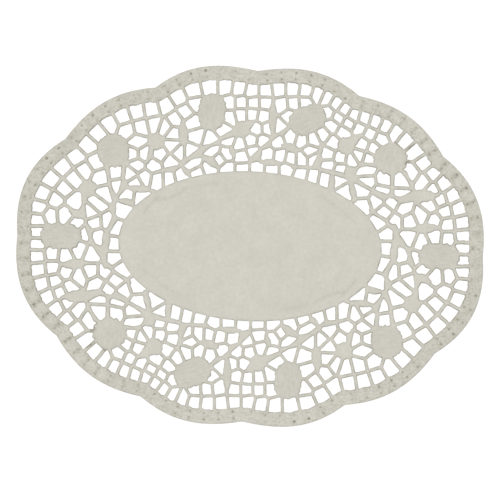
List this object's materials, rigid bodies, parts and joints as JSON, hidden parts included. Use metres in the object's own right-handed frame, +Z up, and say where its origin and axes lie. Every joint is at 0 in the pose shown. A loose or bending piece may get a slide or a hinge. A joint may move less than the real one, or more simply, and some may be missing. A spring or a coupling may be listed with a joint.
{
  "type": "lace paper doily",
  "caption": "Flat oval paper doily with a scalloped border, a die-cut net of roses and leaves, and a plain centre to set a dish on.",
  "frame": {"origin": "middle of the underside, in the plane of the surface that the doily lies on", "axes": "+X along the oval's long axis, +Y across it, +Z up through the sheet"},
  "size_m": [0.3482, 0.2668, 0.001],
  "materials": {
    "doily_paper": "matt, embossed, off-white with a faint grey-green cast"
  },
  "bodies": {
    "root": {"doily": "doily_paper"}
  },
  "joints": []
}
